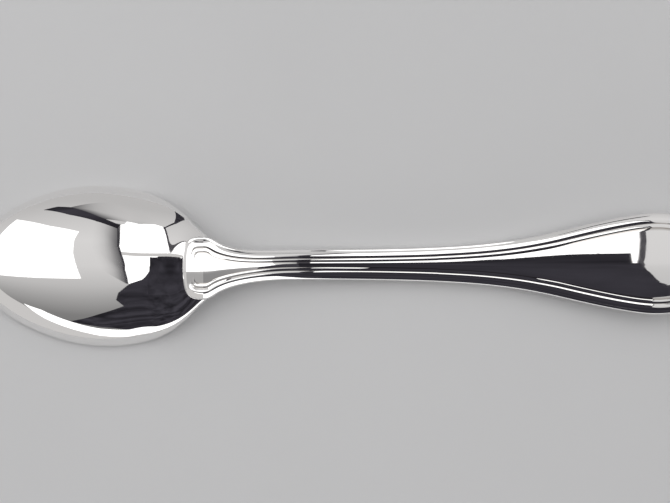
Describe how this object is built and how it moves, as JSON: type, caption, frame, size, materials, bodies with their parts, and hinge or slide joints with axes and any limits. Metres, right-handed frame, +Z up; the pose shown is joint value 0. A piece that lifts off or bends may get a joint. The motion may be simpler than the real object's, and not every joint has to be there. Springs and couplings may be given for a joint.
{
  "type": "demitasse spoon",
  "caption": "Small polished silver coffee spoon lying face down: oval dished bowl, slim stem flaring to a rounded end, double thread border along the handle.",
  "frame": {"origin": "centre of the spoon's footprint on the table, with the spoon lying face down", "axes": "+X along the spoon from the bowl's tip to the handle's end, +Y across it, +Z up out of the table towards the spoon's back"},
  "size_m": [0.107, 0.023, 0.0069],
  "materials": {
    "polished_silver": "mirror polished sterling silver with fine hairline scratches",
    "hard_solder": "silver hard solder, a little duller than the polished metal"
  },
  "bodies": {
    "root": {"bowl": "polished_silver", "handle": "polished_silver", "solder_seam": "hard_solder"}
  },
  "joints": []
}
